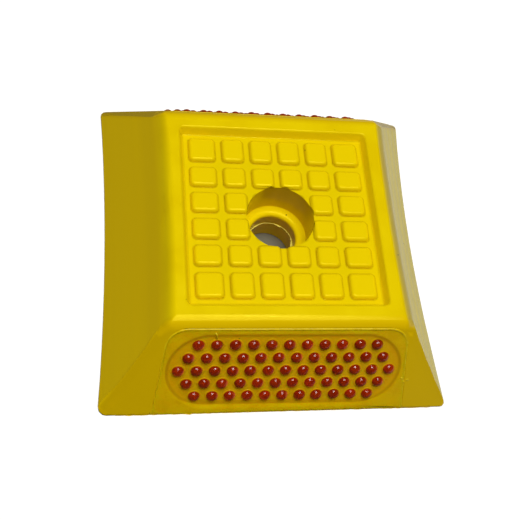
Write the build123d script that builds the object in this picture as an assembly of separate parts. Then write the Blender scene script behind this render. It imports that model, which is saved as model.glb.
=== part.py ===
from build123d import *
from math import asin, atan2, cos, degrees, hypot, pi, radians, sin, sqrt, tan
import os

# Reflective road stud: a moulded body with two bead reflectors, X across the road, Y along it.
# The origin is the centre of the base, and all sizes are in millimetres.

# Outer form of the body
base_length = 100.0        # along the road
base_width = 100.0         # across the road
height = 25.5
top_length = 67.5          # between the upper edges before they are rounded
top_width = 67.5
base_lip = 0.6             # upright edge round the foot
base_corner_cut = 1.0      # taken off the corners of the foot, along the diagonal
top_corner_cut = 1.9       # taken off the upper ends of the four ridges
top_edge_radius = 5.0
side_bow = 1.6             # how far the side edges of the foot draw in at mid-length
side_crest = 0.02          # the rounding of the side edges meets the top this far below its crest

# Tread on the top
recess_depth = 2.6
recess_draft = 1.05        # how far the recess wall leans out, from floor to rim
recess_corner_radius = 0.6
pad_height = 1.2           # over the floor of the recess, so the pads stay below its rim
pad_count = 6              # pads along each edge of the tread
pad_free = 2               # rows of pads left out round the bolt hole
pad_width = 6.7            # inner pads
pad_edge_width = 8.0       # pads of the outer rows
pad_gap = 1.75
pad_margin = 1.65          # from the outer pads to the foot of the recess wall
pad_corner_cut = 0.9       # taken off the upright corners of a pad
pad_edge_cut = 0.7         # taken off its upper edges

# Hole for the anchor bolt
bolt_hole_radius = 7.0
bolt_head_radius = 10.0
bolt_seat_height = 12.0    # level of the ledge under the bolt head

# Ribbed underside
side_wall = 3.0
top_wall = 3.0             # under the floor of the tread recess
boss_wall = 2.8            # round the bolt head
rib_width = 2.2
rib_pitch = 11.9

# Bead reflectors
bead_radius = 1.7
bead_back_radius = 1.95    # the rod of a bead widens to its back, so it can't fall out
bead_length = 5.1          # three radii, which puts the focus of the dome on the flat back
bead_sides = 6             # flat sides that stand for the round of a bead
dome_steps = 2             # rings of flats on its dome
dome_end = 76              # degrees up the dome where the rings end in a flat tip
bead_pitch = 5.0
bead_rows = 5
bead_row_count = 13        # beads in the middle row
bead_fit = 0.04            # clearance round a bead in its socket
dish_depth = 0.95
dish_draft = 0.7           # how far the dish wall leans out, from floor to rim
dish_margin = 0.8          # from the outer beads to the foot of the dish wall
dish_centre = 13.75        # up the face, from the lip
plate_base_width = 73.2    # of the reflector plate, at the lip
plate_top_width = 66.6
plate_corner_radius = 6.0
plate_drop = 2.1           # from the upper edge of the face, before it is rounded, to the plate
plate_fit = 0.15           # seam between the plate and its pocket
foil_thickness = 0.4
foil_inset = 0.6           # from the edge of the plate to the edge of the foil
pocket_wall = 2.5          # behind the pocket

# Values worked out from the sizes above
face_rise = height - base_lip
end_run = (base_length - top_length) / 2
side_run = (base_width - top_width) / 2
end_slope = atan2(face_rise, end_run)
side_slope = atan2(face_rise, side_run)
face_length = hypot(face_rise, end_run)
bow_radius = ((base_length / 2) ** 2 + side_bow ** 2) / (2 * side_bow)
top_bow = bow_radius - sqrt(bow_radius ** 2 - (top_length / 2) ** 2)
tread_floor = height - recess_depth
boss_radius = bolt_head_radius + boss_wall
rod_length = bead_length - bead_radius
bead_row_pitch = bead_pitch * sin(radians(60))
plate_thickness = dish_depth + rod_length
pocket_depth = plate_thickness + foil_thickness
spare = 5.0                # how far cutting tools reach past the surfaces they cut

# The plane of the front face, with its origin on the lip, Y up the slope and Z outwards
front_face = Plane(
    origin=(0, -base_length / 2, base_lip),
    x_dir=(1, 0, 0),
    z_dir=(0, -sin(end_slope), cos(end_slope)),
)


def slope_section(foot, crown, crest):
    """Half a section through the stud, from the middle out to one slope."""
    outline = Polyline((0, 0), (foot, 0), (foot, base_lip), (crown, crest), (0, crest), close=True)
    return make_face(outline)


def rounded_section(foot, crown, crest):
    """The same with a rounded upper edge."""
    section = slope_section(foot, crown, crest)
    upper_edge = section.vertices().sort_by_distance((crown, crest, 0))[0]
    return fillet(upper_edge, top_edge_radius)


def side_scoop():
    """What is cut away at the right-hand side, swung round a far upright axis to bow the side in."""
    waist = base_width / 2 - side_bow
    reach = base_width / 2 + spare
    crest = height + side_crest
    crown = waist - (crest - base_lip) * (waist - top_width / 2 + top_bow) / face_rise
    beside = Pos(reach / 2, crest / 2) * Rectangle(reach, crest)
    beside = beside - rounded_section(waist, crown, crest)
    axis = Axis((waist + bow_radius, 0, 0), (0, 0, 1))
    swing = 2 * degrees(asin((base_length / 2 + spare) / bow_radius))
    return revolve((Plane.XZ * beside).rotate(axis, -swing / 2), axis, swing)


def ridge_limit():
    """A round, sloping limit that blunts the four ridges and the corners of the foot."""
    foot = hypot(base_width, base_length) / 2 - base_corner_cut
    crown = hypot(top_width, top_length) / 2 - top_corner_cut
    return revolve(Plane.XZ * slope_section(foot, crown, height), Axis.Z)


def outer_form():
    """The outside of the stud, before the tread, the pockets and the ribs."""
    section = rounded_section(base_length / 2, top_length / 2, height)
    block = extrude(Plane.YZ * (section + mirror(section, Plane.YZ)), base_width / 2, both=True)
    scoop = side_scoop()
    block = block - scoop - mirror(scoop, Plane.YZ)
    return block & ridge_limit()


def pad_line():
    """Centre and width of each pad along one edge of the tread."""
    widths = [pad_edge_width] + [pad_width] * (pad_count - 2) + [pad_edge_width]
    start = -(sum(widths) + pad_gap * (pad_count - 1)) / 2
    line = []
    for width in widths:
        line.append((start + width / 2, width))
        start += width + pad_gap
    return line


def tread_pad(width, length):
    """One raised pad with its corners and upper edges cut back, rooted in the floor of the recess."""
    root = top_wall / 2
    pad = extrude(chamfer(Rectangle(width, length).vertices(), pad_corner_cut), root + pad_height)
    pad = chamfer(pad.faces().sort_by(Axis.Z)[-1].edges(), pad_edge_cut)
    return Pos(0, 0, tread_floor - root) * pad


def tread_pads():
    """The raised pads, all but those round the bolt hole."""
    line = pad_line()
    first_free = (pad_count - pad_free) // 2
    free = range(first_free, first_free + pad_free)
    pads = []
    for column, (x, width) in enumerate(line):
        for row, (y, length) in enumerate(line):
            if column in free and row in free:
                continue
            pads.append(Pos(x, y, 0) * tread_pad(width, length))
    return pads


def tread_recess():
    """The space cut into the top for the tread, with leaning walls."""
    centre, width = pad_line()[-1]
    floor = 2 * (centre + width / 2 + pad_margin)
    lean = degrees(atan2(recess_draft, recess_depth))
    outline = Pos(0, 0, tread_floor) * RectangleRounded(floor, floor, recess_corner_radius)
    return extrude(outline, recess_depth, taper=-lean)


def underside_cells():
    """The hollow cells between the ribs, open at the foot."""
    roof = tread_floor - top_wall
    end_depth = (pocket_depth + pocket_wall) / sin(end_slope)
    end_foot = base_length / 2 + base_lip / tan(end_slope) - end_depth
    side_foot = base_width / 2 + base_lip / tan(side_slope) - side_bow - side_wall / sin(side_slope)
    end_roof = end_foot - roof / tan(end_slope)
    side_roof = side_foot - roof / tan(side_slope)
    along = Polyline((-end_foot, 0), (end_foot, 0), (end_roof, roof), (-end_roof, roof), close=True)
    across = Polyline((-side_foot, 0), (side_foot, 0), (side_roof, roof), (-side_roof, roof), close=True)
    space = extrude(Plane.YZ * make_face(along), base_width / 2, both=True)
    space = space & extrude(Plane.XZ * make_face(across), base_length / 2, both=True)
    upright = (Align.CENTER, Align.CENTER, Align.MIN)
    solid = [Cylinder(boss_radius, height, align=upright)]
    for k in range(-int(side_foot / rib_pitch), int(side_foot / rib_pitch) + 1):
        solid.append(Pos(k * rib_pitch, 0, 0) * Box(rib_width, base_length, height, align=upright))
    for k in range(-int(end_foot / rib_pitch), int(end_foot / rib_pitch) + 1):
        solid.append(Pos(0, k * rib_pitch, 0) * Box(base_width, rib_width, height, align=upright))
    return space - solid


def plate_outline(gap):
    """The arch of the reflector plate on the face, drawn in by a gap, running out below the foot."""
    top = face_length - plate_drop
    lean = (plate_base_width - plate_top_width) / 2 / top
    half_top = plate_top_width / 2 - gap
    half_base = plate_base_width / 2 - gap + lean * spare
    foot = Line((-half_base, -spare), (half_base, -spare))
    arch = Polyline(foot @ 1, (half_top, top - gap), (-half_top, top - gap), foot @ 0)
    corners = make_face([foot, arch]).vertices().sort_by(Axis.Y)[-2:]
    return fillet(corners, plate_corner_radius)


def bead_places():
    """The places of the beads on the face, as one list for each row, from the top row down."""
    rows = []
    for row in range(bead_rows):
        step = row - (bead_rows - 1) / 2
        count = bead_row_count - int(abs(step))
        up = dish_centre - step * bead_row_pitch
        rows.append([((i - (count - 1) / 2) * bead_pitch, up) for i in range(count)])
    return rows


def bead_stage(level, radius, next_level, next_radius):
    """One tapered length of a bead, between two levels."""
    rise = next_level - level
    taper = degrees(atan2((radius - next_radius) * cos(pi / bead_sides), rise))
    return extrude(Pos(0, 0, level) * RegularPolygon(radius, bead_sides), rise, taper=taper)


def bead_rod(fit):
    """The tapered rod of a bead, or of its socket with a fit, with its front at z = 0."""
    return bead_stage(-rod_length, bead_back_radius + fit, 0, bead_radius + fit)


def bead():
    """A plano-convex bead with its dome upwards, the foot of the dome at z = 0."""
    piece = bead_rod(0)
    angles = [radians(dome_end * step / dome_steps) for step in range(dome_steps + 1)]
    for low, high in zip(angles, angles[1:]):
        piece = piece + bead_stage(
            bead_radius * sin(low), bead_radius * cos(low), bead_radius * sin(high), bead_radius * cos(high)
        )
    return piece


def reflector_dish():
    """The shallow racetrack dish round the beads, with leaning walls."""
    half_width = (bead_row_count - 1) / 2 * bead_pitch + bead_radius + dish_margin
    half_height = (bead_rows - 1) / 2 * bead_row_pitch + bead_radius + dish_margin
    floor = Pos(0, dish_centre, -dish_depth) * SlotOverall(2 * half_width, 2 * half_height)
    return extrude(floor, dish_depth, taper=-degrees(atan2(dish_draft, dish_depth)))


def reflector_plate(form):
    """The plate that fills the front pocket flush, with a dish and a socket for each bead."""
    outline = Pos(0, 0, -plate_thickness) * plate_outline(plate_fit)
    plate = front_face * extrude(outline, plate_thickness + spare) & form
    plate = plate - front_face * reflector_dish()
    socket = bead_rod(bead_fit)
    sockets = [front_face * Pos(x, up, -dish_depth) * socket for row in bead_places() for x, up in row]
    return plate - sockets


def mirror_foil():
    """The reflecting sheet between the beads and the floor of the pocket."""
    outline = plate_outline(plate_fit + foil_inset)
    sheet = front_face * extrude(Pos(0, 0, -pocket_depth) * outline, foil_thickness)
    return split(sheet, Plane.XY.offset(foil_inset), keep=Keep.TOP)


def bead_row(places):
    """One row of separate beads on the front face."""
    piece = bead()
    return Compound(children=[front_face * Pos(x, up, -dish_depth) * piece for x, up in places])


def stud_body(form):
    """The moulded body with its tread, bolt hole, pockets and ribs."""
    pocket = front_face * extrude(Pos(0, 0, -pocket_depth) * plate_outline(0), pocket_depth + spare)
    body = form - pocket - Rot(0, 0, 180) * pocket
    body = body - tread_recess()
    body = body + tread_pads()
    body = body - underside_cells()
    seat = Pos(0, 0, bolt_seat_height) * Cylinder(
        bolt_head_radius, height, align=(Align.CENTER, Align.CENTER, Align.MIN)
    )
    return body - Cylinder(bolt_hole_radius, 2 * height + spare) - seat


os.makedirs("parts", exist_ok=True)
form = outer_form()
pieces = {"stud_body": stud_body(form)}
plate = reflector_plate(form)
foil = mirror_foil()
for end, turn in (("front", 0), ("rear", 180)):
    turned = Rot(0, 0, turn)
    pieces[f"{end}_reflector_plate"] = turned * plate
    pieces[f"{end}_mirror_foil"] = turned * foil
    for number, places in enumerate(bead_places(), 1):
        pieces[f"{end}_bead_row_{number}"] = turned * bead_row(places)
for name, piece in pieces.items():
    export_step(piece, f"parts/{name}.step")
    print(name, len(piece.solids()), round(piece.volume, 1))
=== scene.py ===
import bpy
import bmesh
import math
import random
from mathutils import Matrix, Vector


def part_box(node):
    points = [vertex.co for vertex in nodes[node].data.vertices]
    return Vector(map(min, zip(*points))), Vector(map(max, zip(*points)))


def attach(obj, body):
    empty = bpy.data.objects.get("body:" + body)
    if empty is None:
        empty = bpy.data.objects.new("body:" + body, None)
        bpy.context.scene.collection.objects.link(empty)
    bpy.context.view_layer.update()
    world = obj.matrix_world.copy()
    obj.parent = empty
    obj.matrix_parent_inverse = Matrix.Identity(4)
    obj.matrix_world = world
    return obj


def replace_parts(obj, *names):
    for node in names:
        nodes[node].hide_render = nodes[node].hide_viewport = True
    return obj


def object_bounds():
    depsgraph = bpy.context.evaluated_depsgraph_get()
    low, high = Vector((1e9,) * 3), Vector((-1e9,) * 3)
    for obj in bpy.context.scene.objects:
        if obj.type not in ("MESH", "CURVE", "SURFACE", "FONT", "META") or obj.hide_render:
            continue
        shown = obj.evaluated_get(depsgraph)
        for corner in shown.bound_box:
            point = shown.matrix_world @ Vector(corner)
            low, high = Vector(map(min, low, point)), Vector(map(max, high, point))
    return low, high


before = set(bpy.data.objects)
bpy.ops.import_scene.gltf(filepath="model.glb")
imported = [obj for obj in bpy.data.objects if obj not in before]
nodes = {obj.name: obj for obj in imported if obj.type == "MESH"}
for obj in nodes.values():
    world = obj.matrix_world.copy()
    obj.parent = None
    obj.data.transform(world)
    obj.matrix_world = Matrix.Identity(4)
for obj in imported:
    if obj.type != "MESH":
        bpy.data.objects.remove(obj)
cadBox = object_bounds()
mm = 0.001  # the frame is in metres, the values below are in millimetres
weld = 0.002 * mm  # points nearer than this are one
print("frame loaded,", len(nodes), "solids")


# small helpers

def tone(red, green, blue):  # a colour as read off a screen, made linear
    def lin(value):
        value = value / 255.0
        return value / 12.92 if value <= 0.04045 else ((value + 0.055) / 1.055) ** 2.4
    return (lin(red), lin(green), lin(blue), 1.0)


def addNode(tree, kind, **settings):
    node = tree.nodes.new(kind)
    for key, value in settings.items():
        setattr(node, key, value)
    return node


def feed(tree, target, value):  # a socket is linked, any other value is set
    if isinstance(value, bpy.types.NodeSocket):
        tree.links.new(value, target)
    else:
        target.default_value = value


def mathNode(tree, operation, first, second=None):
    node = addNode(tree, "ShaderNodeMath", operation=operation)
    feed(tree, node.inputs[0], first)
    if second is not None:
        feed(tree, node.inputs[1], second)
    return node.outputs[0]


def plus(tree, first, second):
    return mathNode(tree, "ADD", first, second)


def minus(tree, first, second):
    return mathNode(tree, "SUBTRACT", first, second)


def times(tree, first, second):  # also the mask that holds where two others do
    return mathNode(tree, "MULTIPLY", first, second)


def larger(tree, first, second):
    return mathNode(tree, "MAXIMUM", first, second)


def mixColour(tree, factor, first, second):
    node = addNode(tree, "ShaderNodeMix", data_type="RGBA")
    feed(tree, node.inputs[0], factor)
    feed(tree, node.inputs[6], first)
    feed(tree, node.inputs[7], second)
    return node.outputs[2]


def ramp(tree, value, low, high, outLow=0.0, outHigh=1.0):
    node = addNode(tree, "ShaderNodeMapRange", interpolation_type="SMOOTHSTEP")
    for socket, item in zip(node.inputs[:5], (value, low, high, outLow, outHigh)):
        feed(tree, socket, item)
    return node.outputs[0]


def fade(tree, value, start, end):  # a soft step along a length in millimetres
    return ramp(tree, value, start * mm, end * mm)


def noiseNode(tree, vector, scale, detail=2.0):
    node = addNode(tree, "ShaderNodeTexNoise")
    feed(tree, node.inputs["Vector"], vector)
    feed(tree, node.inputs["Scale"], scale)
    node.inputs["Detail"].default_value = detail
    return node.outputs[0]


def splitPlace(tree, vector):
    node = addNode(tree, "ShaderNodeSeparateXYZ")
    feed(tree, node.inputs[0], vector)
    return node.outputs


def vectorNode(tree, operation, first, second=None):
    node = addNode(tree, "ShaderNodeVectorMath", operation=operation)
    feed(tree, node.inputs[0], first)
    if second is not None:
        feed(tree, node.inputs[1], second)
    return node.outputs


def lengthOf(tree, vector):
    return vectorNode(tree, "LENGTH", vector)["Value"]


def stretched(tree, vector, turn, size):  # turned and scaled, for streaks
    node = addNode(tree, "ShaderNodeMapping")
    feed(tree, node.inputs["Vector"], vector)
    node.inputs["Rotation"].default_value = turn
    node.inputs["Scale"].default_value = size
    return node.outputs[0]


def startGroup(name, inputs, outputs):
    tree = bpy.data.node_groups.new(name, "ShaderNodeTree")
    for side, sockets in (("INPUT", inputs), ("OUTPUT", outputs)):
        for label, kind in sockets:
            tree.interface.new_socket(name=label, in_out=side, socket_type="NodeSocket" + kind)
    return tree, addNode(tree, "NodeGroupInput").outputs, addNode(tree, "NodeGroupOutput").inputs


def placeGroup(tree, group, **values):
    node = addNode(tree, "ShaderNodeGroup", node_tree=group)
    for key, value in values.items():
        feed(tree, node.inputs[key], value)
    return node.outputs


def startMaterial(name):
    material = bpy.data.materials.new(name)
    material.use_nodes = True
    tree = material.node_tree
    shader = tree.nodes["Principled BSDF"]
    place = addNode(tree, "ShaderNodeTexCoord").outputs["Object"]
    return material, tree, shader, place


def addBump(tree, shader, height, strength, distance):
    bump = addNode(tree, "ShaderNodeBump")
    bump.inputs["Strength"].default_value = strength
    bump.inputs["Distance"].default_value = distance
    feed(tree, bump.inputs["Height"], height)
    feed(tree, shader.inputs["Normal"], bump.outputs["Normal"])


def setSockets(shader, values):  # what is the same all over a surface
    for key, value in values.items():
        shader.inputs[key].default_value = value


# effects that more than one finish uses

def mouldedSkin():  # cloudy colour and the fine orange peel of a moulding
    tree, given, put = startGroup("mouldedSkin",
        [("Place", "Vector"), ("Main", "Color"), ("Pale", "Color"), ("Deep", "Color"),
         ("Cloud", "Float"), ("Peel", "Float"), ("Smooth", "Float"), ("Rough", "Float")],
        [("Colour", "Color"), ("Roughness", "Float"), ("Height", "Float")])
    cloud = noiseNode(tree, given["Place"], given["Cloud"], 3.0)
    peel = noiseNode(tree, given["Place"], given["Peel"], 2.0)
    colour = mixColour(tree, ramp(tree, cloud, 0.30, 0.55), given["Deep"], given["Main"])
    colour = mixColour(tree, ramp(tree, cloud, 0.52, 0.75), colour, given["Pale"])
    feed(tree, put["Colour"], colour)
    blend = plus(tree, times(tree, cloud, 0.6), times(tree, peel, 0.4))
    feed(tree, put["Roughness"], ramp(tree, blend, 0.35, 0.65, given["Smooth"], given["Rough"]))
    feed(tree, put["Height"], peel)
    return tree


def fineScuffs():  # short hairlines in two directions, in patches
    tree, given, put = startGroup("fineScuffs",
        [("Place", "Vector"), ("Spread", "Float")], [("Mask", "Float")])
    lines = None
    for turn in ((0.2, 0.5, 0.6), (0.7, 0.1, -0.9)):
        streak = noiseNode(tree, stretched(tree, given["Place"], turn, (1900.0, 70.0, 900.0)), 1.0, 1.0)
        streak = ramp(tree, streak, 0.69, 0.76)
        lines = streak if lines is None else larger(tree, lines, streak)
    patch = noiseNode(tree, given["Place"], 90.0, 2.0)
    edge = minus(tree, 1.0, given["Spread"])
    feed(tree, put["Mask"], times(tree, lines, ramp(tree, patch, edge, 1.0)))
    return tree


def dirtSpecks():  # a few small specks, each with its own size
    tree, given, put = startGroup("dirtSpecks",
        [("Place", "Vector"), ("Scale", "Float"), ("Share", "Float"), ("Largest", "Float")], [("Mask", "Float")])
    cells = addNode(tree, "ShaderNodeTexVoronoi")
    feed(tree, cells.inputs["Vector"], given["Place"])
    feed(tree, cells.inputs["Scale"], given["Scale"])
    parts = addNode(tree, "ShaderNodeSeparateColor")
    feed(tree, parts.inputs[0], cells.outputs["Color"])
    size = times(tree, parts.outputs[1], given["Largest"])
    spot = mathNode(tree, "LESS_THAN", cells.outputs["Distance"], size)
    chosen = mathNode(tree, "LESS_THAN", parts.outputs[0], given["Share"])
    feed(tree, put["Mask"], times(tree, spot, chosen))
    return tree


skinGroup = mouldedSkin()
scuffGroup = fineScuffs()
speckGroup = dirtSpecks()
print("shader groups ready")


# the way each end of the stud looks, and how far out its face lies

def lightSide(foil, side):  # a reflector looks along its foil's widest face
    widest = max(foil.data.polygons, key=lambda face: face.area)
    normal = widest.normal.copy()
    return normal if normal.y * side > 0 else -normal


axes = {"front": lightSide(nodes["front_mirror_foil"], -1), "rear": lightSide(nodes["rear_mirror_foil"], 1)}
faceLevel = max(vertex.co.dot(axes["front"]) for vertex in nodes["front_reflector_plate"].data.vertices)


# body moulding

stud = {  # sizes of the CAD that the code below goes by
    "top": cadBox[1][2] / mm, "foot": cadBox[1][1] / mm, "footSide": 49.95, "lip": 0.6,
    "ridgeTop": 21.0, "foldRows": (4.2, 4.9),
    "treadFloor": 22.9, "treadHalf": 27.5, "padStep": 8.45, "padGap": 1.75, "padEdge": 25.775, "lastRow": 21.1,
    "headBore": 10.0, "boltBore": 7.0, "seat": 12.0,
    "sideSpan": (1.0, 23.0), "sideFoot": 46.6, "sideSlope": 0.653,  # the plain sides lie beyond this slope
}
bodyLook = {
    "main": tone(241, 211, 2), "pale": tone(245, 216, 6), "deep": tone(235, 203, 1),
    # painted shade on the tread floor and at the foot of the pads, painted light on the recess walls
    "tread": tone(236, 209, 2), "nook": tone(182, 152, 1), "nookShare": 0.5, "recess": tone(251, 220, 3),
    # painted shade on the pads' walls, painted light on their tops
    "padWall": tone(236, 204, 2), "padTop": tone(246, 215, 2), "padCorner": 1.3,
    # painted shade on the two ends; painted tones on the sides as they look in the light, paler on the right
    "end": tone(230, 191, 1), "side": tone(245, 208, 2), "rightSide": tone(245, 219, 2),
    "endFrom": (31.0, 34.0), "sideFrom": (33.0, 36.0), "ridgeFrom": (-3.0, -1.0),
    "dragFrom": (33.5, 35.5), "dragLines": (500.0, 14.0, 500.0), "drag": 6.0,
    # painted shade in the bolt hole and deeper in its shaft, painted light on the seat's ledge
    "bore": tone(234, 201, 4), "ledge": tone(252, 224, 5), "shaft": tone(216, 180, 3),
    "speck": tone(92, 74, 22), "cloud": 70.0, "peel": 1500.0, "smooth": 0.13, "rough": 0.21,
    "scuffs": 0.55, "specks": 0.016, "peelHeight": 0.012, "glow": 0.0, "depth": 1.0,
    "seatRound": 1.5, "recessRound": 0.55, "padRound": 0.45, "footRound": 0.6, "rimRound": 0.3, "innerRound": 0.08,
    "cornerRound": {(-1, -1): 2.5, (-1, 1): 1.7, (1, -1): 1.5, (1, 1): 1.7}, "leastBend": 24,
    "hollow": 0.25, "foldHeight": 17.0, "ripple": 0.05, "rippleStep": 6.0, "shoulder": 57.0, "foldRadius": 5.0,
    "turnLeft": (57.0, 2.6, 0.0), "turnRight": (61.5, 5.5, 0.24),  # how steep, how quick and how late a side turns
}
plasticLook = {  # what all the mouldings share
    "index": 1.49, "shine": 0.34, "sheen": tone(255, 236, 70), "scatter": (1.0, 0.6, 0.1), "bump": 0.5,
    "speckScale": 420.0, "speckLargest": 0.13, "speckShare": 0.8,
    "scuffPale": 0.25, "scuffRough": 0.12, "scuffDepth": 0.5,
}


def padDistance(tree, along):  # how far outside the rows of pads, in one direction
    step = stud["padStep"] * mm
    near = mathNode(tree, "MINIMUM", along, stud["lastRow"] * mm)
    wrap = mathNode(tree, "MODULO", plus(tree, near, step / 2), step)
    fromGap = mathNode(tree, "ABSOLUTE", minus(tree, wrap, step / 2))
    between = minus(tree, stud["padGap"] / 2 * mm, fromGap)
    return larger(tree, between, minus(tree, along, stud["padEdge"] * mm))


def bodyTint(tree, place, colour, look):  # painted shade and light: each part of the moulding gets the yellow it shows in the light
    ground, wide, seat = stud["treadFloor"], stud["treadHalf"], stud["seat"]
    across, along, height = splitPlace(tree, place)
    sideways = mathNode(tree, "ABSOLUTE", across)
    endways = mathNode(tree, "ABSOLUTE", along)
    reach = larger(tree, sideways, endways)
    spread = lengthOf(tree, vectorNode(tree, "MULTIPLY", place, (1, 1, 0))[0])
    # painted shade: the two ends a little darker than the top
    paintedEndShadeMask = times(tree, fade(tree, endways, *look["endFrom"]),
                  fade(tree, minus(tree, endways, sideways), *look["ridgeFrom"]))
    # painted shade: the tread floor a little darker than the top
    inTread = times(tree, fade(tree, reach, wide + 0.1, wide - 0.3), fade(tree, height, ground + 0.7, ground + 0.1))
    corner = addNode(tree, "ShaderNodeCombineXYZ")
    for socket, way in zip(corner.inputs, (sideways, endways)):
        feed(tree, socket, larger(tree, plus(tree, padDistance(tree, way), look["padCorner"] * mm), 0.0))
    away = minus(tree, lengthOf(tree, corner.outputs[0]), look["padCorner"] * mm)
    # painted shade on the floor, at the foot of the pads and walls
    nook = larger(tree, fade(tree, away, 0.5, 0.0), fade(tree, reach, wide - 0.8, wide - 0.1))
    nook = times(tree, times(tree, nook, inTread), fade(tree, height, ground + 0.1, ground + 0.03))
    # painted light: the recess walls lighter, as if lit from the front
    onRecess = times(tree, fade(tree, reach, wide - 0.15, wide), fade(tree, reach, wide + 1.1, wide + 0.8))
    onRecess = times(tree, onRecess, fade(tree, height, stud["top"] - 0.1, stud["top"] - 0.7))
    # painted shade on the pads' lower walls and painted light on their tops
    onPad = times(tree, fade(tree, height, ground + 0.03, ground + 0.1), fade(tree, reach, wide - 0.2, wide - 0.4))
    paintedPadShadeAndLight = mixColour(tree, fade(tree, height, ground + 0.8, ground + 1.15), look["padWall"], look["padTop"])
    # painted shade in the bolt hole and its shaft, painted light on the seat's ledge
    inBore = times(tree, fade(tree, spread, stud["headBore"] + 0.4, stud["headBore"] - 0.1),
                   fade(tree, height, ground + 0.1, ground - 0.5))
    onLedge = times(tree, fade(tree, height, seat + 0.5, seat + 0.1), inBore)
    inShaft = times(tree, inBore, fade(tree, height, seat - 0.4, seat - 2.0))
    inShaft = times(tree, inShaft, fade(tree, spread, stud["boltBore"] - 0.25, stud["boltBore"] - 0.05))
    for mask, shade in (
            # painted tones: the sides as they look in the light, the right side paler
            (fade(tree, sideways, *look["sideFrom"]), look["side"]),
            (fade(tree, across, *look["sideFrom"]), look["rightSide"]),
            (paintedEndShadeMask, look["end"]), (inTread, look["tread"]), (times(tree, nook, look["nookShare"]), look["nook"]),
            (onRecess, look["recess"]), (onPad, paintedPadShadeAndLight),
            (inBore, look["bore"]), (onLedge, look["ledge"]), (inShaft, look["shaft"])):
        colour = mixColour(tree, mask, colour, shade)
    drag = noiseNode(tree, stretched(tree, place, (0, 0, 0), look["dragLines"]), 1.0, 3.0)  # lines along the sides
    drag = times(tree, times(tree, drag, fade(tree, sideways, *look["dragFrom"])), look["drag"])
    return colour, drag, 0.0


def moulding(name, look, tint):  # a moulded plastic, with its colours placed by tint
    material, tree, shader, place = startMaterial(name)
    shared = plasticLook
    skin = placeGroup(tree, skinGroup, Place=place, Main=look["main"], Pale=look["pale"], Deep=look["deep"],
                      Cloud=look["cloud"], Peel=look["peel"], Smooth=look["smooth"], Rough=look["rough"])
    scuff = placeGroup(tree, scuffGroup, Place=place, Spread=look["scuffs"])["Mask"]
    speck = placeGroup(tree, speckGroup, Place=place, Scale=shared["speckScale"], Share=look["specks"],
                       Largest=shared["speckLargest"])["Mask"]
    colour, ridges, matt = tint(tree, place, skin["Colour"], look)
    colour = mixColour(tree, times(tree, scuff, shared["scuffPale"]), colour, look["pale"])
    colour = mixColour(tree, times(tree, speck, shared["speckShare"]), colour, look["speck"])
    rough = plus(tree, skin["Roughness"], times(tree, scuff, shared["scuffRough"]))
    rough = plus(tree, rough, matt)
    height = minus(tree, skin["Height"], times(tree, scuff, shared["scuffDepth"]))
    height = plus(tree, height, ridges)
    feed(tree, shader.inputs["Base Color"], colour)
    feed(tree, shader.inputs["Roughness"], rough)
    addBump(tree, shader, height, shared["bump"], look["peelHeight"] * mm)
    setSockets(shader, {
        "IOR": shared["index"], "Specular IOR Level": shared["shine"], "Specular Tint": shared["sheen"],
        "Subsurface Weight": look["glow"], "Subsurface Radius": shared["scatter"],
        "Subsurface Scale": look["depth"] * mm})
    return material


def addObject(name, data):
    thing = bpy.data.objects.new(name, data)
    bpy.context.collection.objects.link(thing)
    return thing


def addMesh(name, mesh):
    data = bpy.data.meshes.new(name)
    mesh.to_mesh(data)
    mesh.free()
    return addObject(name, data)


def bendAt(edge, layer):  # how far the faces turn over an edge, by the CAD normals
    one, two = edge.link_loops
    here = one[layer].angle(two.link_loop_next[layer], 0.0)
    there = one.link_loop_next[layer].angle(two[layer], 0.0)
    return math.degrees(max(here, there))


def softCopy(name, node, passes, turns, walls, tidy=None):  # the node's faces, rounded in passes
    source = nodes[node].data
    mesh = bmesh.new()
    mesh.from_mesh(source)
    layer = mesh.loops.layers.float_vector.new("cadNormal")
    for face, polygon in zip(mesh.faces, source.polygons):
        for loop, index in zip(face.loops, polygon.loop_indices):
            loop[layer] = source.corner_normals[index].vector
    bmesh.ops.remove_doubles(mesh, verts=mesh.verts, dist=weld)
    if tidy:
        tidy(mesh, layer)
    inside = [edge for edge in mesh.edges
              if len(edge.link_faces) == 2 and all(walls(face) for face in edge.link_faces)]
    bmesh.ops.dissolve_limit(mesh, angle_limit=math.radians(0.6), verts=[], edges=inside, delimit={"NORMAL"})
    strip = mesh.faces.layers.int.new("strip")
    for face in mesh.faces:
        face[strip] = int(turns(face, layer))
    for width, least, chosen in passes:  # how wide, from which bend in degrees, and which edges
        edges = [edge for edge in mesh.edges
                 if len(edge.link_loops) == 2 and not any(face[strip] for face in edge.link_faces)
                 and bendAt(edge, layer) > least and chosen(edge, layer)]
        made = bmesh.ops.bevel(mesh, geom=edges, offset=width * mm, offset_type="OFFSET", segments=3, profile=0.5,
                               affect="EDGES", clamp_overlap=False, material=-1)
        for face in made["faces"]:
            face[strip] = 1
    carried = {}
    for face in mesh.faces:
        face.smooth = True
        for loop in face.loops:
            kept, loose = carried.setdefault(loop.vert, (Vector(), Vector()))
            if face[strip]:
                loose += face.normal * face.calc_area()
            else:
                kept += loop[layer]
    normals = []
    ridge = {vertex for face in mesh.faces if face[strip] == 2 for vertex in face.verts}
    for face in mesh.faces:
        for loop in face.loops:
            kept, loose = carried[loop.vert]
            normal = (kept if kept.length > 0.01 else loose) if face[strip] else Vector(loop[layer])
            if face[strip] and loop.vert in ridge and loop.vert.co.z > (stud["lip"] + 0.1) * mm:
                normal = axes["front" if loop.vert.co.y < 0 else "rear"].copy()  # a ridge is shaded as its end
            normals.append(normal.normalized() if normal.length > 1e-9 else face.normal)
    piece = addMesh(name, mesh)
    piece.data.normals_split_custom_set(normals)
    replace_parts(piece, node)
    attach(piece, "root")
    return piece


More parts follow.
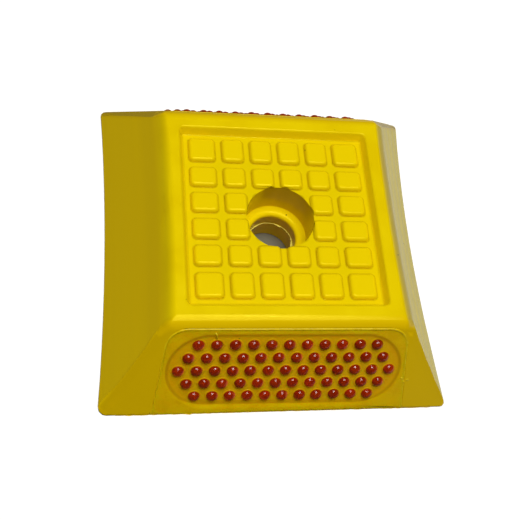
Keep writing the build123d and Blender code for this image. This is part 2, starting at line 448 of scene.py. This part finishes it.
def facesUp(edge, layer):  # an edge that borders a level face and turns down from it
    level = [loop for loop in edge.link_loops if loop[layer].z > 0.995]
    return len(level) == 1 and edge.is_convex


def seatEdge(edge, layer):  # the inner edge of the bolt's seat
    return facesUp(edge, layer) and edge.verts[0].co.xy.length < (stud["boltBore"] + 1) * mm


def recessRim(edge, layer):
    return facesUp(edge, layer) and edge.verts[0].co.z > (stud["top"] - 0.5) * mm


def padEdge(edge, layer):  # the upper and the upright edges of the tread pads
    heights = [vertex.co.z / mm - stud["treadFloor"] for vertex in edge.verts]
    return edge.is_convex and max(heights) > 0.2 and -0.05 < min(heights) < 1.6 and not atBore(edge)


def footCorner(edge, layer):  # the upright edges of the thin lip
    return edge.verts[0].co.z < 1 * mm and all(abs(loop[layer].z) < 0.3 for loop in edge.link_loops)


def atBore(edge):  # the rim of the bolt hole, where it cuts the pads
    return any(vertex.co.z > (stud["treadFloor"] - 0.4) * mm
               and vertex.co.xy.length < (stud["headBore"] + 0.2) * mm for vertex in edge.verts)


def outerEdge(edge, layer):
    return edge.is_convex and not atBore(edge)


def anyEdge(edge, layer):
    return not atBore(edge)


def inRecess(point):
    return max(abs(point.x), abs(point.y)) < (stud["treadHalf"] + 1.5) * mm


def cornerPatch(face, layer):  # the narrow patches between a side and an end
    middle = face.calc_center_median()
    normal = face.loops[0][layer]
    if inRecess(middle) or min(abs(normal.x), abs(normal.y)) < 0.15:
        return 0
    return 2 if (stud["lip"] + 0.1) * mm < middle.z < stud["ridgeTop"] * mm else 1


def innerWall(face):  # the walls of the recess, the pads and the bolt hole
    return inRecess(face.calc_center_median()) and abs(face.normal.z) < 0.97


def noFace(face, layer=None):
    return False


def plainCorners(mesh, layer):  # each recess corner as one row of flats from the rim to the floor
    edge = (stud["treadHalf"] - 0.7) * mm
    for sideX, sideY in ((1, 1), (1, -1), (-1, 1), (-1, -1)):
        def inCorner(point):
            return point.x * sideX > edge and point.y * sideY > edge
        patch = [face for face in mesh.faces if innerWall(face) and inCorner(face.calc_center_median())]
        points = {vertex for face in patch for vertex in face.verts}
        low = min(vertex.co.z for vertex in points)
        high = max(vertex.co.z for vertex in points)
        middle = Vector((min(abs(vertex.co.x) for vertex in points) * sideX,
                         min(abs(vertex.co.y) for vertex in points) * sideY, 0))
        rise = sum(loop[layer].z for face in patch for loop in face.loops) / sum(len(face.loops) for face in patch)

        def turn(vertex):
            return abs(math.atan2(vertex.co.y - middle.y, (vertex.co.x - middle.x) * sideX))
        rim = sorted((vertex for vertex in points if vertex.co.z > high - 0.01 * mm), key=turn)
        foot = sorted((vertex for vertex in points if vertex.co.z < low + 0.01 * mm), key=turn)
        bmesh.ops.delete(mesh, geom=patch, context="FACES")
        for quad in zip(foot, foot[1:], rim[1:], rim):
            face = mesh.faces.new(quad if sideX * sideY < 0 else tuple(reversed(quad)))
            for loop in face.loops:
                out = (loop.vert.co - middle).xy.normalized() * math.sqrt(1 - rise * rise)
                loop[layer] = (-out.x, -out.y, rise)
    mesh.normal_update()


def sag(height, look):  # how far a side is hollowed at a height, all in millimetres
    low, high = stud["sideSpan"]
    below = (height - low) / (look["foldHeight"] - low)
    above = (high - height) / (high - look["foldHeight"])
    return look["hollow"] * max(0.0, (below + above - math.hypot(below - above, 0.25)) / 2)


def sideWave(point, look):  # the hollow, and on one side a faint ripple, at a point of a side
    height, along = point.z / mm, point.y / mm
    low, high = stud["sideSpan"]
    if not low < height < high:
        return 0.0
    wave = 0.0
    if point.x > 0:
        wave = math.sin(2 * math.pi * height / look["rippleStep"] + 0.6 * math.sin(along * 0.11))
    return sag(height, look) + look["ripple"] * wave * min(1.0, (height - low) / 3, (high - height) / 3)


def onSide(point):  # the outer skin of the two plain sides
    return (abs(point.x) / mm > stud["sideFoot"] - stud["sideSlope"] * point.z / mm
            and abs(point.y) - abs(point.x) < 3 * mm)


def turnedDown(point, normal, look):  # the normal of a side's upper fold, which turns quickly
    flat = normal.xy.length
    tilt = math.degrees(math.atan2(flat, normal.z))
    fall = max(0.0, stud["top"] - point.z / mm)
    turned = math.degrees(math.acos(max(0.0, 1 - fall / look["foldRadius"])))
    steep, quick, late = look["turnRight"] if point.x > 0 else look["turnLeft"]
    share = min(1.0, max(0.0, turned / look["shoulder"] - late) / (1 - late))
    if turned < look["shoulder"] + 2:
        tilt += (steep * (1 - (1 - share) ** quick) - tilt) * (normal.x / flat) ** 2
    result = Vector((normal.x / flat, normal.y / flat, 0)) * math.sin(math.radians(tilt))
    result.z = math.cos(math.radians(tilt))
    return result


def shapeSides(mesh, layer):  # the plain sides are a little hollow and turn down quickly from the top
    look = bodyLook
    for step in range(1, 22):  # a cut at each millimetre
        faces = [face for face in mesh.faces
                 if abs(face.loops[0][layer].x) > 0.3 and onSide(face.calc_center_median())]
        parts = (faces + list({edge for face in faces for edge in face.edges})
                 + list({vertex for face in faces for vertex in face.verts}))
        bmesh.ops.bisect_plane(mesh, geom=parts, dist=0.001 * mm,
                               plane_co=(0, 0, (step + 0.5) * mm), plane_no=(0, 0, 1))
    probe = Vector((0, 0, 0.05 * mm))
    for face in mesh.faces:
        for loop in face.loops:
            point, normal = loop.vert.co, loop[layer].copy()
            if not onSide(point) or abs(normal.x) < 0.02 or normal.z < 0:
                continue
            rise = (sideWave(point + probe, look) - sideWave(point - probe, look)) / 0.1
            normal.z += rise * abs(normal.x)
            if point.z > stud["treadFloor"] * mm:
                normal = turnedDown(point, normal, look)
            loop[layer] = normal.normalized()
    for vertex in mesh.verts:
        if onSide(vertex.co):
            vertex.co.x -= math.copysign(sideWave(vertex.co, look) * mm, vertex.co.x)


def roundFoot(mesh):  # the foot's corners, each to its own radius
    near = (stud["foot"] - 1.7) * mm
    for (sideX, sideY), radius in bodyLook["cornerRound"].items():
        for level in (0.0, stud["lip"]):
            row = [vertex for vertex in mesh.verts if vertex.co.x * sideX > near and vertex.co.y * sideY > near
                   and abs(vertex.co.z - level * mm) < 0.01 * mm]
            row.sort(key=lambda vertex: vertex.co.y * sideY - vertex.co.x * sideX)
            for number, vertex in enumerate(row):
                angle = math.pi / 2 * number / (len(row) - 1)
                vertex.co.x = sideX * (stud["footSide"] - radius + radius * math.cos(angle)) * mm
                vertex.co.y = sideY * (stud["foot"] - radius + radius * math.sin(angle)) * mm


def evenFold(mesh, layer):  # the middle of each side's upper fold as plain rows of flats
    near, far = stud["foldRows"]
    for side in (-1, 1):
        fold = [vertex for vertex in mesh.verts
                if vertex.co.x * side > (stud["treadHalf"] + 2.5) * mm and vertex.co.z > (stud["top"] - 0.5) * mm]
        fold.sort(key=lambda vertex: vertex.co.z)
        ends = [[vertex for vertex in fold if near < vertex.co.y * end / mm < far] for end in (-side, side)]
        old = [face for face in mesh.faces
               if all(vertex in ends[0] or vertex in ends[1] for vertex in face.verts)]
        kept = {loop.vert: loop[layer].copy() for face in old for loop in face.loops}
        bmesh.ops.delete(mesh, geom=old, context="FACES")
        for quad in zip(ends[0], ends[1], ends[1][1:], ends[0][1:]):
            for loop in mesh.faces.new(quad).loops:
                loop[layer] = kept[loop.vert]
    mesh.normal_update()


settleLook = {  # the foot is not quite square: a moulding shrinks as it cools
    "from": 38.0, "over": 10.0, "left": 0.3, "leftFront": 0.85, "flare": 1.0, "flareFrom": 0.75,
    "pinch": 0.6, "pinchEnd": 0.85, "front": 0.45, "twist": 0.0056, "frontEdge": -40.0, "frontHeight": 5.0,
}


def settle(point):  # what is fixed at the foot follows it
    look = settleLook
    x, y, z = (value / mm for value in point)
    along = (stud["foot"] - y) / (2 * stud["foot"])
    outer = min(1.0, max(0.0, (abs(x) - look["from"]) / look["over"])) ** 2 * max(0.0, 1 - z / stud["top"])
    if x < 0:
        x -= (look["left"] + look["leftFront"] * along) * outer
    else:
        flare = look["flare"] * max(0.0, along - look["flareFrom"])
        x += (flare - look["pinch"] * math.sin(math.pi * min(1.0, along / look["pinchEnd"]))) * outer
    if y < look["frontEdge"] and z < look["frontHeight"]:
        y -= (look["front"] - look["twist"] * x) * (1 - z / look["frontHeight"]) ** 2
    return Vector((x, y, z)) * mm


def shapeBody(mesh, layer):
    roundFoot(mesh)
    plainCorners(mesh, layer)
    evenFold(mesh, layer)
    shapeSides(mesh, layer)
    for vertex in mesh.verts:
        vertex.co = settle(vertex.co)


def dress(piece, material):
    piece.data.materials.clear()
    piece.data.materials.append(material)


def addPiece(name, mesh, material):  # a new piece on the stud
    bmesh.ops.recalc_face_normals(mesh, faces=mesh.faces)
    piece = addMesh(name, mesh)
    dress(piece, material)
    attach(piece, "root")
    return piece


def allRound(axis, count):  # the directions round an axis
    across = axis.orthogonal().normalized()
    aside = axis.cross(across)
    turns = [2 * math.pi * step / count for step in range(count)]
    return [across * math.cos(turn) + aside * math.sin(turn) for turn in turns]


def joinRings(mesh, one, two):
    for step in range(len(one)):
        after = (step + 1) % len(one)
        mesh.faces.new((one[step], one[after], two[after], two[step])).smooth = True


def sweep(mesh, stations, closed):  # a band through rings of points
    rings = [[mesh.verts.new(point) for point in ring] for ring in stations]
    for one, two in zip(rings, rings[1:] + rings[:1] if closed else rings[1:]):
        joinRings(mesh, one, two)
    if not closed:
        mesh.faces.new(rings[0])
        mesh.faces.new(rings[-1])


bodyPlastic = moulding("yellowMoulding", bodyLook, bodyTint)
bodyRounds = [(bodyLook[key], bodyLook["leastBend"], chosen) for key, chosen in (
    ("seatRound", seatEdge), ("recessRound", recessRim), ("padRound", padEdge),
    ("footRound", footCorner), ("rimRound", outerEdge), ("innerRound", anyEdge))]
body = softCopy("studBody", "stud_body", bodyRounds, cornerPatch, innerWall, shapeBody)
dress(body, bodyPlastic)
print("body dressed")


# flash left by the mould: a ragged ring in the bolt hole and a thin fin along the foot

flashLook = {
    "boreHeight": 7.0, "boreSteps": 150, "boreReach": (0.14, 0.66), "boreStart": 0.5, "boreRagged": 0.22,
    # painted light: the thin flash paler, as if lit through
    "boreWave": 0.12, "boreThick": 0.10, "paintedFlashGlow": tone(252, 240, 105),
    "footSpan": 92.0, "footStep": 1.1, "footReach": (0.02, 0.16), "footThick": 0.12,
    "tabShare": 0.04, "tabReach": 0.2, "seed": 12,
}


def boreFlash(look, chance):
    mesh = bmesh.new()
    stations = []
    reach = look["boreStart"]
    least, most = look["boreReach"]
    for step in range(look["boreSteps"]):
        angle = 2 * math.pi * step / look["boreSteps"]
        out = Vector((math.cos(angle), math.sin(angle), 0))
        reach = min(max(reach + chance.uniform(-1, 1) * look["boreRagged"], least), most)
        level = look["boreHeight"] + look["boreWave"] * math.sin(3 * angle + 0.6) + chance.uniform(-0.05, 0.05)
        outline = ((0.15, 0.5), (-0.3 * reach, 0.5), (-reach, 0.1), (-reach, -0.3), (0.15, -0.5))
        stations.append([(out * (stud["boltBore"] + across)
                          + Vector((0, 0, level + rise * look["boreThick"]))) * mm for across, rise in outline])
    sweep(mesh, stations, True)
    # painted light: the flash paler than the shaded bolt hole, as if light shone through it
    thinPlastic = moulding("flashMoulding", dict(bodyLook, ledge=look["paintedFlashGlow"], shaft=look["paintedFlashGlow"]), bodyTint)
    return addPiece("boreFlash", mesh, thinPlastic)


def footFlash(look, chance):  # with a few small tabs
    low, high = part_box("stud_body")
    mesh = bmesh.new()
    for side in (Vector((0, -1, 0)), Vector((0, 1, 0))):
        along = Vector((-side.y, side.x, 0))
        edge = max(abs(low[1]), abs(high[1]))
        span = int(look["footSpan"] / look["footStep"])
        stations = []
        for step in range(span + 1):
            reach = chance.uniform(*look["footReach"]) if 0 < step < span else 0.0
            if chance.random() < look["tabShare"]:
                reach += look["tabReach"]
            base = along * (step - span / 2) * look["footStep"] * mm + side * edge
            outline = ((-0.3, 0.5), (0.6 * reach, 0.4), (reach, 0.0), (-0.3, 0.0))
            stations.append([settle(base) + (side * across + Vector((0, 0, rise * look["footThick"]))) * mm
                             for across, rise in outline])
        sweep(mesh, stations, False)
    return addPiece("footFlash", mesh, bodyPlastic)


chance = random.Random(flashLook["seed"])
boreFlash(flashLook, chance)
footFlash(flashLook, chance)
print("mould flash added")


# reflector plates

plateLook = {
    # painted amber light in the dish, painted shade on its wall
    "main": tone(237, 196, 2), "pale": tone(240, 203, 5), "deep": tone(229, 186, 1), "dish": tone(233, 180, 4),
    "wall": tone(208, 159, 4), "wallMatt": 0.3, "wallFrom": (0.01, 0.10), "floorFrom": (0.15, 0.24),
    "glow": 0.7, "depth": 2.0,
    "dishFloor": 0.25, "dishSpread": 0.6, "cadFloor": 0.95, "cadSpread": 0.7,  # as shown, and as in the CAD
    "speck": tone(80, 52, 18), "cloud": 160.0, "peel": 1300.0, "smooth": 0.24, "rough": 0.34,
    "scuffs": 0.45, "specks": 0.03, "peelHeight": 0.02, "dishRound": 0.5, "dishBend": 5, "edgeRound": 0.12,
}


def plateTint(tree, place, colour, look):  # painted light and shade: the dish between the beads is more amber, for the red light through the beads and the shade among them
    mirrored = vectorNode(tree, "ABSOLUTE", place)[0]
    level = vectorNode(tree, "DOT_PRODUCT", mirrored, (0, abs(axes["front"].y), axes["front"].z))["Value"]
    # painted shade on the dish's wall, which is also duller
    wallShadeMask, inDish = (ramp(tree, level, *(faceLevel - depth * mm for depth in look[key]))
                      for key in ("wallFrom", "floorFrom"))
    colour = mixColour(tree, wallShadeMask, colour, look["wall"])
    matt = times(tree, minus(tree, wallShadeMask, inDish), look["wallMatt"])
    return mixColour(tree, inDish, colour, look["dish"]), 0.0, matt


platePlastic = moulding("amberMoulding", plateLook, plateTint)
for word, axis in axes.items():
    def dishEdge(edge, layer):  # the rim and the floor line of the dish, not the sockets
        return all(loop[layer].dot(axis) > 0.3 for loop in edge.link_loops)

    def shallowDish(mesh, layer):  # the dish as shallow as it looks, with a wide wall
        look = plateLook
        lean = math.atan2(look["dishFloor"], look["cadSpread"] + look["dishSpread"])
        rim = {}
        for face in mesh.faces:
            if 0.4 < face.loops[0][layer].dot(axis) < 0.8:
                for loop in face.loops:
                    inward = (loop[layer] - axis * loop[layer].dot(axis)).normalized()
                    loop[layer] = axis * math.cos(lean) + inward * math.sin(lean)
                    if loop.vert.co.dot(axis) > faceLevel - 0.05 * mm:
                        rim[loop.vert] = inward
        for vertex in mesh.verts:
            if abs(faceLevel - vertex.co.dot(axis) - look["cadFloor"] * mm) < 0.02 * mm:
                vertex.co += axis * (look["cadFloor"] - look["dishFloor"]) * mm
        for vertex, inward in rim.items():
            vertex.co -= inward * look["dishSpread"] * mm
        for vertex in mesh.verts:
            vertex.co = settle(vertex.co)
        mesh.normal_update()
    plateRounds = ((plateLook["dishRound"], plateLook["dishBend"], dishEdge),
                   (plateLook["edgeRound"], bodyLook["leastBend"], anyEdge))
    plate = softCopy(word + "Plate", word + "_reflector_plate", plateRounds, noFace, noFace, shallowDish)
    dress(plate, platePlastic)
print("plates dressed")


# glue in the seam round each plate, with a thread and drops of it

glueLook = {
    "main": tone(238, 208, 8), "deep": tone(224, 190, 4), "cloud": 600.0, "index": 1.49, "shine": 0.25,
    "step": 1.2, "gap": 0.15, "plateSide": 0.34, "bodySide": 0.46, "bury": 0.8, "dip": 0.05, "crest": 0.16,
    "wave": 0.015, "seed": 7,
    "thread": ((-20.7, 27.4, 0.02), (-20.33, 26.6, 0.22), (-20.24, 25.6, 0.05), (-20.4, 24.9, -0.35),
               (-20.6, 24.4, -0.75)),  # along the base, up the slope and off the plate
    "threadRadius": 0.18, "drops": ((34.6, 11.2, 0.42), (36.3, 10.6, 0.5), (35.4, 9.9, 0.35)),
}


def seamGlue(look):
    material, tree, shader, place = startMaterial("seamGlue")
    cloud = noiseNode(tree, place, look["cloud"], 3.0)
    colour = mixColour(tree, ramp(tree, cloud, 0.3, 0.7), look["deep"], look["main"])
    feed(tree, shader.inputs["Base Color"], colour)
    feed(tree, shader.inputs["Roughness"], ramp(tree, cloud, 0.3, 0.7, 0.22, 0.40))
    addBump(tree, shader, cloud, 0.4, 0.03 * mm)
    setSockets(shader, {"IOR": look["index"], "Specular IOR Level": look["shine"]})
    return material


def plateOutline(node, axis):  # the plate's upper edge as points with the way out of the plate
    mesh = bmesh.new()
    mesh.from_mesh(nodes[node].data)
    bmesh.ops.remove_doubles(mesh, verts=mesh.verts, dist=weld)
    chain = {}
    for edge in mesh.edges:
        if len(edge.link_faces) != 2 or min(vertex.co.dot(axis) for vertex in edge.verts) < faceLevel - 0.05 * mm:
            continue
        wall = min(edge.link_faces, key=lambda face: abs(face.normal.dot(axis)))
        if abs(wall.normal.dot(axis)) < 0.3:
            for one, two in (edge.verts, reversed(edge.verts)):
                chain.setdefault(one.index, []).append((two.index, wall.normal.copy()))
    places = {vertex.index: vertex.co.copy() for vertex in mesh.verts}
    mesh.free()
    here = next(index for index, ways in chain.items() if len(ways) == 1)
    before, points = None, []
    while here is not None:
        out = sum((normal for other, normal in chain[here]), Vector()).normalized()
        points.append((places[here], out))
        ahead = [other for other, normal in chain[here] if other != before]
        before, here = here, ahead[0] if ahead else None
    return points


def seamPiece(word, axis, look, chance):  # a band along the plate's outline
    stations = []
    upward = (Vector((0, 0, 1)) - axis * axis.z).normalized()
    points = plateOutline(word + "_reflector_plate", axis)
    for (one, outOne), (two, outTwo) in zip(points, points[1:]):
        count = max(1, math.ceil((two - one).length / (look["step"] * mm)))
        for step in range(count + (two is points[-1][0])):
            out = outOne.lerp(outTwo, step / count).normalized()
            top = max(0.0, out.dot(upward)) ** 2  # the seam swells along the arch and dips at the sides
            level = look["crest"] * top - look["dip"] * (1 - top) + chance.uniform(-1, 1) * look["wave"]
            base = one.lerp(two, step / count) + out * look["gap"] / 2 * mm
            outline = ((-look["plateSide"], -0.02), (-0.10, level), (0.12, level), (look["bodySide"], -0.02),
                       (0.06, -look["bury"]), (-0.06, -look["bury"]))
            stations.append([base + (out * across + axis * rise) * mm for across, rise in outline])
    for place, ring in ((0, stations[0]), (len(stations) + 1, stations[-1])):  # both ends run down to the ground
        drop = Vector((0, 0, min(point.z for point in ring[:4])))
        stations.insert(place, [point - drop for point in ring])
    mesh = bmesh.new()
    sweep(mesh, [[settle(point) for point in ring] for ring in stations], False)
    return mesh


def onFace(axis, x, up, rise):  # a place on a plate, in millimetres along the base, up the slope and off it
    slope = Vector((1, 0, 0)).cross(axis) if axis.y > 0 else axis.cross(Vector((1, 0, 0)))
    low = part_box("front_reflector_plate")[0][2]
    start = axis * (faceLevel + rise * mm)
    start += slope * ((low - start.z) / slope.z)
    return start + Vector((x * mm, 0, 0)) + slope * up * mm


def glueThread(mesh, axis, look):  # a string that hangs over the plate's upper edge
    stations = []
    path = [onFace(axis, *spot) for spot in look["thread"]]
    for number, point in enumerate(path):
        ahead = (path[min(number + 1, len(path) - 1)] - path[max(number - 1, 0)]).normalized()
        size = look["threadRadius"] * (1.5 if number == 0 else 1.0)
        stations.append([point + out * size * mm for out in allRound(ahead, 8)])
    sweep(mesh, stations, False)


def glueDrop(mesh, axis, x, up, size):  # a flat blob with a wavy edge
    point = onFace(axis, x, up, 0.0)
    slope = axis.cross(Vector((1, 0, 0))).normalized()
    stations = []
    for radius, rise in ((1.0, -0.10), (0.92, 0.10), (0.62, 0.30), (0.2, 0.38)):
        ring = []
        for turn in range(12):
            angle = turn * math.pi / 6
            wobble = radius * (1 + 0.25 * math.sin(3 * angle + size * 20))
            out = Vector((1, 0, 0)) * math.cos(angle) * 1.3 + slope * math.sin(angle)
            ring.append(point + (out * wobble * size + axis * rise * size) * mm)
        stations.append(ring)
    sweep(mesh, stations, False)


glueFinish = seamGlue(glueLook)
chance = random.Random(glueLook["seed"])
for word, axis in axes.items():
    mesh = seamPiece(word, axis, glueLook, chance)
    if word == "front":
        glueThread(mesh, axis, glueLook)
        for x, up, size in glueLook["drops"]:
            glueDrop(mesh, axis, x, up, size)
    addPiece(word + "Glue", mesh, glueFinish)
print("glue laid")


# mirror foils

foilLook = {"main": tone(214, 216, 220), "dull": tone(186, 188, 194), "crinkle": 260.0, "height": 0.02}


def mirrorFoil(look):
    material, tree, shader, place = startMaterial("mirrorFoil")
    crinkle = noiseNode(tree, place, look["crinkle"], 3.0)
    feed(tree, shader.inputs["Base Color"], mixColour(tree, crinkle, look["dull"], look["main"]))
    feed(tree, shader.inputs["Roughness"], ramp(tree, crinkle, 0.3, 0.7, 0.06, 0.18))
    addBump(tree, shader, crinkle, 0.4, look["height"] * mm)
    shader.inputs["Metallic"].default_value = 1.0
    return material


foilFinish = mirrorFoil(foilLook)
for name in ("front_mirror_foil", "rear_mirror_foil"):
    dress(nodes[name], foilFinish)
print("foils dressed")


# glass beads

beadLook = {
    # painted glint and glow: the light the beads send back is painted into colour and emission
    "glass": tone(212, 62, 8), "deep": tone(184, 42, 4), "paintedGlint": tone(255, 128, 70), "dark": tone(0, 0, 0),
    "wisp": 900.0, "index": 1.52, "shine": 0.32, "clear": 0.6, "glow": 0.35,
    "dome": 1.74, "back": 1.97, "length": 5.1, "around": 28, "domeSteps": 9,
    "tilt": 3.0, "sizeSpread": 0.02, "seatSpread": 0.06, "lift": 0.33, "hold": 1.69, "seed": 41,
    "shines": (0.25, 0.4, 0.55, 0.8, 1.0), "rearShine": 0.2, "glintFrom": 0.42, "glintTurn": 0.8,
    # painted amber and shade for the lips round the beads
    "backRound": 0.15, "lipPaintedAmber": tone(232, 172, 5),
}


def redGlass(look):
    material, tree, shader, place = startMaterial("redGlass")
    wisp = noiseNode(tree, place, look["wisp"], 2.0)
    paintedGlintMask = addNode(tree, "ShaderNodeAttribute", attribute_name="paintedGlint").outputs["Fac"]  # painted glint: the light the bead would send back, painted into its colour and glow
    colour = mixColour(tree, ramp(tree, wisp, 0.35, 0.65), look["deep"], look["glass"])
    feed(tree, shader.inputs["Base Color"], mixColour(tree, paintedGlintMask, colour, look["paintedGlint"]))
    feed(tree, shader.inputs["Roughness"], ramp(tree, wisp, 0.35, 0.65, 0.02, 0.08))
    addBump(tree, shader, wisp, 0.25, 0.02 * mm)
    # painted glow: the glint shines though the bead is no lamp
    feed(tree, shader.inputs["Emission Color"], mixColour(tree, paintedGlintMask, look["dark"], look["paintedGlint"]))
    setSockets(shader, {"Emission Strength": look["glow"], "Specular IOR Level": look["shine"],
                        "Transmission Weight": look["clear"], "IOR": look["index"]})
    return material


def beadSeats(row, axis):  # the middle of each bead's flat back
    points = sorted((vertex.co.copy() for vertex in row.data.vertices), key=lambda point: point.x)
    groups = [[points[0]]]
    for before, point in zip(points, points[1:]):
        if point.x - before.x > 0.5 * mm:
            groups.append([])
        groups[-1].append(point)
    seats = []
    for group in groups:
        low = min(point.dot(axis) for point in group)
        back = [point for point in group if point.dot(axis) < low + 0.01 * mm]
        seats.append(sum(back, Vector()) / len(back))
    return seats


def beadProfile(look):  # distance from the axis and height over the flat back
    foot = look["length"] - look["dome"]
    outline = [(look["back"] - look["backRound"], 0.0), (look["back"], look["backRound"]), (look["dome"], foot)]
    for step in range(1, look["domeSteps"]):
        angle = math.pi / 2 * step / look["domeSteps"]
        outline.append((look["dome"] * math.cos(angle), foot + look["dome"] * math.sin(angle)))
    return outline


def addBead(mesh, paintedGlint, seat, axis, look, chance):  # no two beads sit quite alike
    slope = axis.cross(Vector((1, 0, 0))).normalized()
    low = (Vector((1, 0, 0)) - slope * chance.uniform(0.0, look["glintTurn"])).normalized()  # the side of the painted glint, where light would leave it
    shine = chance.choice(look["shines"]) * (1.0 if axis.y < 0 else look["rearShine"])
    lean = Vector((chance.uniform(-1, 1), chance.uniform(-1, 1), chance.uniform(-1, 1)))
    stand = (axis + lean * math.tan(math.radians(look["tilt"])) * 0.5).normalized()
    size = 1 + chance.uniform(-1, 1) * look["sizeSpread"]
    lift = chance.uniform(-1, 1) * look["seatSpread"] + look["lift"]
    rings = []
    for radius, height in beadProfile(look):
        ring = []
        for out in allRound(stand, look["around"]):
            grow = size if height > look["length"] - look["dome"] - 0.01 else 1.0
            rise = height + lift if height > look["backRound"] else height
            ring.append(mesh.verts.new(seat + (out * radius * grow + stand * rise) * mm))
            # painted glint, brightest on one lower side of the dome
            edge = out.dot(low) * radius / look["dome"] - look["glintFrom"]
            ring[-1][paintedGlint] = shine * max(0.0, edge) / (1 - look["glintFrom"])
        rings.append(ring)
    tip = mesh.verts.new(seat + stand * (look["length"] + lift) * mm)
    for one, two in zip(rings, rings[1:]):
        joinRings(mesh, one, two)
    for one, two in zip(rings[-1], rings[-1][1:] + rings[-1][:1]):
        mesh.faces.new((one, two, tip)).smooth = True
    mesh.faces.new(list(reversed(rings[0])))


def addLip(mesh, seat, axis, look):  # the plastic that holds a bead, drawn up to the glass
    stations = []
    for out in allRound(axis, look["around"]):
        outline = ((look["hold"] - 0.12, -0.35), (look["hold"] - 0.04, 0.08), (look["hold"] + 0.06, 0.08),
                   (look["hold"] + 0.28, 0.03), (look["hold"] + 0.50, -0.03), (look["hold"] + 0.2, -0.35))
        base = faceLevel / mm - plateLook["dishFloor"] + 0.01 - seat.dot(axis) / mm
        stations.append([seat + (out * radius + axis * (base + rise)) * mm for radius, rise in outline])
    sweep(mesh, stations, True)


beadGlass = redGlass(beadLook)
# the lips take the dish's painted amber and shade
lipPlastic = moulding("lipMoulding", dict(plateLook, glow=0.0, dish=beadLook["lipPaintedAmber"]), plateTint)
for word, axis in axes.items():
    chance = random.Random(beadLook["seed"] + len(word))
    lips = bmesh.new()
    for number in range(1, 6):
        row = nodes["%s_bead_row_%d" % (word, number)]
        mesh = bmesh.new()
        paintedGlint = mesh.verts.layers.float.new("paintedGlint")
        for seat in beadSeats(row, axis):
            addBead(mesh, paintedGlint, seat, axis, beadLook, chance)
            addLip(lips, seat, axis, beadLook)
        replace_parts(addPiece("%sBeads%d" % (word, number), mesh, beadGlass), row.name)
    addPiece(word + "Lips", lips, lipPlastic)
print("beads seated")


# studio

stageLook = {  # the floor's half and the lamps are in metres
    "floor": tone(240, 240, 239), "floorPale": tone(246, 246, 245), "grain": 400.0, "matt": 0.9, "shine": 0.1,
    "floorHalf": 3.0, "floorDrop": 0.02, "bounce": tone(112, 110, 72), "under": tone(117, 114, 97),
    "stand": (20.0, 45.0), "rightPaper": (20.0, 60.0), "rightShare": 0.45, "farPaper": (200.0, 600.0), "lift": 0.3,
    "air": tone(80, 75, 48), "white": (1.0, 1.0, 1.0, 1.0),
    "boxPlace": (0.03, -0.09, 1.40), "boxSize": (0.85, 0.85), "boxPower": 16.8,
    "stripPlace": (0.29, 0.12, 1.44), "stripSize": (0.26, 0.06), "stripPower": 0.9,
}
viewLook = {
    "aim": (-3.317, -5.554, 6.482), "azimuth": -24.919, "elevation": 61.332, "roll": 22.924,
    "distance": 266.66, "lens": 61.469,
}

floorMesh = bpy.data.meshes.new("floor")
half = stageLook["floorHalf"]
floorMesh.from_pydata([(-half, -half, 0), (half, -half, 0), (half, half, 0), (-half, half, 0)], [], [(0, 1, 2, 3)])
floor = addObject("floor", floorMesh)
floor.location.z = -stageLook["floorDrop"] * mm


def floorPaper(look):
    material, tree, shader, place = startMaterial("floorPaper")
    path = addNode(tree, "ShaderNodeLightPath").outputs
    fromStud = lengthOf(tree, place)
    onRight = times(tree, fade(tree, splitPlace(tree, place)[0], *look["rightPaper"]), look["rightShare"])
    seen = larger(tree, path["Is Camera Ray"], path["Is Transmission Ray"])
    seen = larger(tree, seen, times(tree, path["Is Glossy Ray"], onRight))  # it shows in the right side
    paper = mixColour(tree, noiseNode(tree, place, look["grain"], 2.0), look["floor"], look["floorPale"])
    paper = mixColour(tree, seen, look["bounce"], paper)
    clear = fade(tree, fromStud, *look["stand"])  # the ground is dull where the stud stands
    feed(tree, shader.inputs["Base Color"], mixColour(tree, clear, look["under"], paper))
    setSockets(shader, {"Roughness": look["matt"], "Specular IOR Level": look["shine"],
                        "Emission Color": look["white"]})
    lift = times(tree, times(tree, seen, clear), look["lift"])
    far = times(tree, path["Is Camera Ray"], fade(tree, fromStud, *look["farPaper"]))  # plain white far away
    feed(tree, shader.inputs["Emission Strength"], larger(tree, lift, far))
    return material


dress(floor, floorPaper(stageLook))

world = bpy.data.worlds.new("softRoom")
bpy.context.scene.world = world
world.use_nodes = True
room = world.node_tree
backdrop = room.nodes["Background"]
cameraSees = addNode(room, "ShaderNodeLightPath").outputs["Is Camera Ray"]
feed(room, backdrop.inputs["Color"], mixColour(room, cameraSees, stageLook["air"], stageLook["white"]))
backdrop.inputs["Strength"].default_value = 1.0


def addLamp(name):
    data = bpy.data.lights.new(name, "AREA")
    data.shape = "RECTANGLE"
    data.size, data.size_y = stageLook[name + "Size"]
    data.energy = stageLook[name + "Power"]
    lamp = addObject(name, data)
    lamp.location = stageLook[name + "Place"]
    lamp.rotation_euler = lamp.location.to_track_quat("Z", "Y").to_euler()  # it shines at the stud


addLamp("box")
addLamp("strip")

cameraData = bpy.data.cameras.new("view")
cameraData.lens = viewLook["lens"]
cameraData.sensor_fit = "HORIZONTAL"
cameraData.clip_start = 0.01
camera = addObject("view", cameraData)
turn = (Matrix.Rotation(math.radians(viewLook["azimuth"]), 4, "Z")
        @ Matrix.Rotation(math.radians(90 - viewLook["elevation"]), 4, "X")
        @ Matrix.Rotation(math.radians(viewLook["roll"]), 4, "Z"))
back = turn.to_3x3() @ Vector((0, 0, 1))
camera.matrix_world = Matrix.Translation((Vector(viewLook["aim"]) + back * viewLook["distance"]) * mm) @ turn
bpy.context.scene.camera = camera
bpy.context.scene.view_settings.view_transform = "Standard"
print("studio ready")
